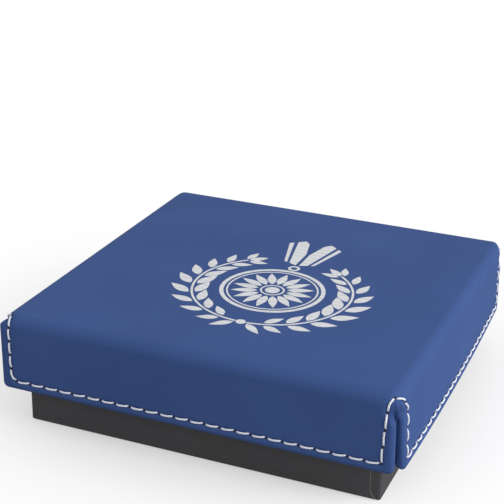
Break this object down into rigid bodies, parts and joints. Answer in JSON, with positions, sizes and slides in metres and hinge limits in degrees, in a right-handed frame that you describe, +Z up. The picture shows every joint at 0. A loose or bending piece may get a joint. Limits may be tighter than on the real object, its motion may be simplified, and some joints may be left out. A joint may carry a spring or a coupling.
{
  "type": "medal display box",
  "caption": "Square medal box: black paper-wrapped tray with a foam pad, under a lift-off blue leatherette lid with stitched flaps.",
  "frame": {"origin": "middle of the box's underside, on the surface that it stands on", "axes": "+Z up, the way the lid lifts off; +Y towards the back; +X to the right seen from the front; the front and back are the tray faces where the wrap's laps show"},
  "size_m": [0.1016, 0.1016, 0.0302],
  "materials": {
    "leatherette": "blue laserable leatherette, fine grain, low sheen",
    "lining_cloth": "black non-woven lining, matt",
    "greyboard": "uncoated grey recycled board",
    "black_paper": "black wrapping paper, smooth, faint sheen",
    "tape_paper": "brown gummed kraft paper",
    "foam": "charcoal open-cell foam, matt with bright cell walls"
  },
  "bodies": {
    "base": {"base_board": "greyboard", "base_wrap": "black_paper", "base_sheet": "black_paper", "foam_pad": "foam", "corner_tape_front_left": "tape_paper", "corner_tape_front_right": "tape_paper", "corner_tape_back_right": "tape_paper", "corner_tape_back_left": "tape_paper"},
    "lid": {"lid_cover": "leatherette", "lid_top_board": "greyboard", "lid_lining": "lining_cloth", "lid_front_board": "greyboard", "lid_back_board": "greyboard", "lid_left_board": "greyboard", "lid_right_board": "greyboard"}
  },
  "joints": [
    {"name": "lid_lift", "type": "slide", "parent": "base", "child": "lid", "axis": [0, 0, 1], "range_m": [0, 0.06]}
  ]
}
